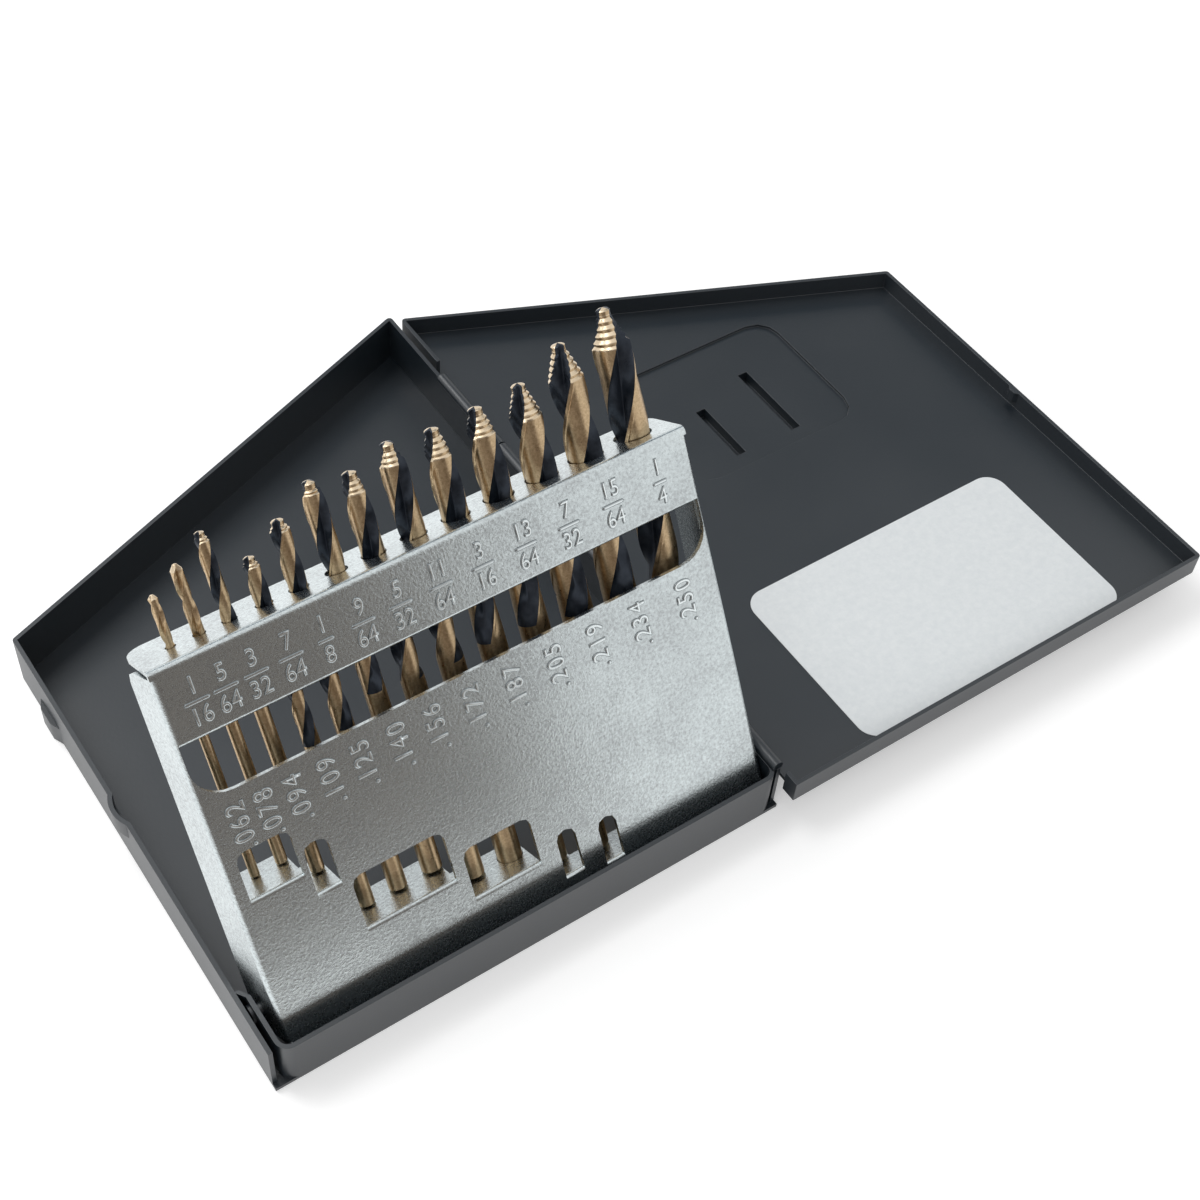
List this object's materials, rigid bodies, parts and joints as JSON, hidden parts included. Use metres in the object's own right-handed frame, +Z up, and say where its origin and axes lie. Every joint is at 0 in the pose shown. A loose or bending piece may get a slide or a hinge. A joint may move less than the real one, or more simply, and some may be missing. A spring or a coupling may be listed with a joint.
{
  "type": "drill bit case",
  "caption": "Folding sheet-steel case, lying open, with a tilting insert that holds a graduated set of stepped-point twist drills.",
  "frame": {"origin": "on the supporting surface, under the hinge axis, at the outer face of the base's front wall", "axes": "+X from the hinge across the lid, +Y from the front wall towards the far wall, +Z up"},
  "size_m": [0.2018, 0.1383, 0.083],
  "materials": {
    "black_paint": "satin black enamel",
    "galvanised": "mottled zinc plate",
    "label_paper": "smooth coated paper",
    "drill_steel": "bronze oxide lands with black flutes"
  },
  "bodies": {
    "base": {"base_tray": "black_paint", "insert_rivets": "black_paint"},
    "pin": {"hinge_pin": "black_paint"},
    "lid": {"lid_tray": "black_paint", "lid_label": "label_paper"},
    "insert": {"insert_panel": "galvanised"},
    "drill_1_16": {"drill_1_16": "drill_steel"},
    "drill_5_64": {"drill_5_64": "drill_steel"},
    "drill_3_32": {"drill_3_32": "drill_steel"},
    "drill_7_64": {"drill_7_64": "drill_steel"},
    "drill_1_8": {"drill_1_8": "drill_steel"},
    "drill_9_64": {"drill_9_64": "drill_steel"},
    "drill_5_32": {"drill_5_32": "drill_steel"},
    "drill_11_64": {"drill_11_64": "drill_steel"},
    "drill_3_16": {"drill_3_16": "drill_steel"},
    "drill_13_64": {"drill_13_64": "drill_steel"},
    "drill_7_32": {"drill_7_32": "drill_steel"},
    "drill_15_64": {"drill_15_64": "drill_steel"},
    "drill_1_4": {"drill_1_4": "drill_steel"}
  },
  "joints": [
    {"name": "insert_fold", "type": "hinge", "parent": "base", "child": "insert", "pos_m": [0, 0.00986, 0.0083], "axis": [-1, 0, 0], "range_deg": [0, 60.8]},
    {"name": "pin_turn", "type": "hinge", "parent": "base", "child": "pin", "pos_m": [0, 0, 0.01115], "axis": [0, -1, 0], "range_deg": [0, 90]},
    {"name": "lid_hinge", "type": "hinge", "parent": "pin", "child": "lid", "pos_m": [0, 0, 0.01115], "axis": [0, -1, 0], "range_deg": [0, 90]},
    {"name": "drill_1_16_slide", "type": "slide", "parent": "insert", "child": "drill_1_16", "axis": [0, -0.4879, -0.8729], "range_m": [-0.0427, 0]},
    {"name": "drill_5_64_slide", "type": "slide", "parent": "insert", "child": "drill_5_64", "axis": [0, -0.4879, -0.8729], "range_m": [-0.0427, 0]},
    {"name": "drill_3_32_slide", "type": "slide", "parent": "insert", "child": "drill_3_32", "axis": [0, -0.4879, -0.8729], "range_m": [-0.047, 0]},
    {"name": "drill_7_64_slide", "type": "slide", "parent": "insert", "child": "drill_7_64", "axis": [0, -0.4879, -0.8729], "range_m": [-0.0571, 0]},
    {"name": "drill_1_8_slide", "type": "slide", "parent": "insert", "child": "drill_1_8", "axis": [0, -0.4879, -0.8729], "range_m": [-0.0571, 0]},
    {"name": "drill_9_64_slide", "type": "slide", "parent": "insert", "child": "drill_9_64", "axis": [0, -0.4879, -0.8729], "range_m": [-0.0571, 0]},
    {"name": "drill_5_32_slide", "type": "slide", "parent": "insert", "child": "drill_5_32", "axis": [0, -0.4879, -0.8729], "range_m": [-0.062, 0]},
    {"name": "drill_11_64_slide", "type": "slide", "parent": "insert", "child": "drill_11_64", "axis": [0, -0.4879, -0.8729], "range_m": [-0.07, 0]},
    {"name": "drill_3_16_slide", "type": "slide", "parent": "insert", "child": "drill_3_16", "axis": [0, -0.4879, -0.8729], "range_m": [-0.067, 0]},
    {"name": "drill_13_64_slide", "type": "slide", "parent": "insert", "child": "drill_13_64", "axis": [0, -0.4879, -0.8729], "range_m": [-0.0687, 0]},
    {"name": "drill_7_32_slide", "type": "slide", "parent": "insert", "child": "drill_7_32", "axis": [0, -0.4879, -0.8729], "range_m": [-0.07, 0]},
    {"name": "drill_15_64_slide", "type": "slide", "parent": "insert", "child": "drill_15_64", "axis": [0, -0.4879, -0.8729], "range_m": [-0.07, 0]},
    {"name": "drill_1_4_slide", "type": "slide", "parent": "insert", "child": "drill_1_4", "axis": [0, -0.4879, -0.8729], "range_m": [-0.07, 0]}
  ],
  "couplings": [
    {"joint": "pin_turn", "follows": "insert_fold", "ratio": 1.4803}
  ]
}
